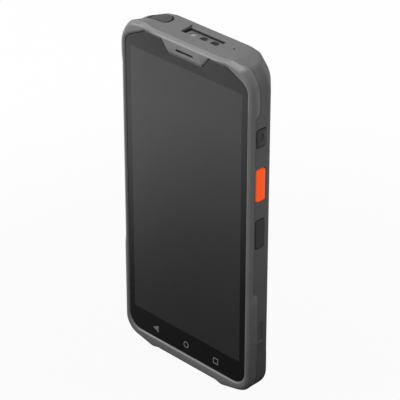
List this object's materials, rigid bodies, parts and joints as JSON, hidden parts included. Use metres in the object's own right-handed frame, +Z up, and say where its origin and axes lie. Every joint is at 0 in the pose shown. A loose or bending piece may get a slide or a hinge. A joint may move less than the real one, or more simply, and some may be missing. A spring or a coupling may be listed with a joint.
{
  "type": "portable barcode data terminal",
  "caption": "Upright hand-held barcode terminal with a large touch screen, side scan triggers, a scan window in its top end and hinged port covers.",
  "frame": {"origin": "under the middle of the body, on the plane of its two feet", "axes": "+Z up along the length, +X to the right seen from the screen side, +Y from the screen to the back"},
  "size_m": [0.0758, 0.0172, 0.154],
  "materials": {
    "frame_grey": "fine satin",
    "screen_glass": "polished",
    "mark_print": "printed",
    "display": "smooth",
    "cast_metal": "cast",
    "seal_rubber": "matt",
    "housing_dark": "fine grain",
    "key_dark": "satin",
    "trigger_orange": "satin",
    "key_soft": "soft",
    "switch_metal": "brushed",
    "flex_film": "film",
    "window_tint": "polished",
    "module_black": "moulded",
    "sheet_steel": "bright",
    "mesh_black": "woven",
    "lens_black": "polished",
    "lens_clear": "polished",
    "board_green": "solder mask",
    "cover_rubber": "soft",
    "pin_steel": "ground",
    "battery_wrap": "label free wrap",
    "contact_gold": "plated",
    "cover_plastic": "fine grain",
    "copper_film": "film",
    "weight_metal": "sintered",
    "screw_black": "blackened"
  },
  "bodies": {
    "case": {"front_bezel": "frame_grey", "cover_glass": "screen_glass", "touch_marks": "mark_print", "display_module": "display", "mid_frame": "cast_metal", "housing_seal": "seal_rubber", "rear_housing": "housing_dark", "side_switches": "switch_metal", "side_key_flexes": "flex_film", "scan_window": "window_tint", "scan_engine": "module_black", "scan_bracket": "sheet_steel", "earpiece_mesh": "mesh_black", "earpiece_receiver": "sheet_steel", "loudspeaker": "module_black", "speaker_mesh": "mesh_black", "rear_camera": "module_black", "camera_window": "lens_black", "flash_lens": "lens_clear", "main_board": "board_green", "shield_cans": "sheet_steel", "lower_board": "board_green", "board_flex": "flex_film", "card_holder": "sheet_steel", "audio_jack": "module_black", "port_socket": "sheet_steel", "cover_pins": "pin_steel", "battery": "battery_wrap", "battery_contacts": "contact_gold", "cradle_contacts": "contact_gold", "motor_can": "sheet_steel", "housing_screws": "screw_black", "rocker_post": "module_black"},
    "power_button": {"power_button": "key_dark"},
    "scan_trigger_right": {"scan_trigger_right": "trigger_orange"},
    "function_key": {"function_key": "key_soft"},
    "scan_trigger_left": {"scan_trigger_left": "trigger_orange"},
    "volume_rocker": {"volume_rocker": "key_dark"},
    "jack_cover": {"jack_cover": "cover_rubber"},
    "port_cover": {"port_cover": "cover_rubber"},
    "battery_cover": {"battery_cover": "cover_plastic", "antenna_coil": "copper_film"},
    "motor_weight": {"motor_weight": "weight_metal"}
  },
  "joints": [
    {"name": "power_press", "type": "slide", "parent": "case", "child": "power_button", "axis": [-1, 0, 0], "range_m": [0, 0.0004], "stiffness_N_per_m": 5000},
    {"name": "trigger_right_press", "type": "slide", "parent": "case", "child": "scan_trigger_right", "axis": [-1, 0, 0], "range_m": [0, 0.0005], "stiffness_N_per_m": 5000},
    {"name": "function_press", "type": "slide", "parent": "case", "child": "function_key", "axis": [-1, 0, 0], "range_m": [0, 0.0004], "stiffness_N_per_m": 5000},
    {"name": "trigger_left_press", "type": "slide", "parent": "case", "child": "scan_trigger_left", "axis": [1, 0, 0], "range_m": [0, 0.0005], "stiffness_N_per_m": 5000},
    {"name": "volume_rock", "type": "hinge", "parent": "case", "child": "volume_rocker", "pos_m": [-0.034, -0.003, 0.1214], "axis": [0, 1, 0], "range_deg": [-1.5, 1.5], "stiffness_Nm_per_rad": 0.4},
    {"name": "jack_cover_swing", "type": "hinge", "parent": "case", "child": "jack_cover", "pos_m": [-0.0276, 0.0026, 0.1514], "axis": [0, -1, 0], "range_deg": [0, 90]},
    {"name": "port_cover_swing", "type": "hinge", "parent": "case", "child": "port_cover", "pos_m": [-0.008, 0.0003, 0.00165], "axis": [0, 1, 0], "range_deg": [0, 100]},
    {"name": "battery_cover_pull", "type": "slide", "parent": "case", "child": "battery_cover", "axis": [0, 1, 0], "range_m": [0, 0.012]},
    {"name": "motor_spin", "type": "hinge", "parent": "case", "child": "motor_weight", "pos_m": [-0.02, 0.0026, 0.021], "axis": [1, 0, 0], "continuous": true}
  ]
}
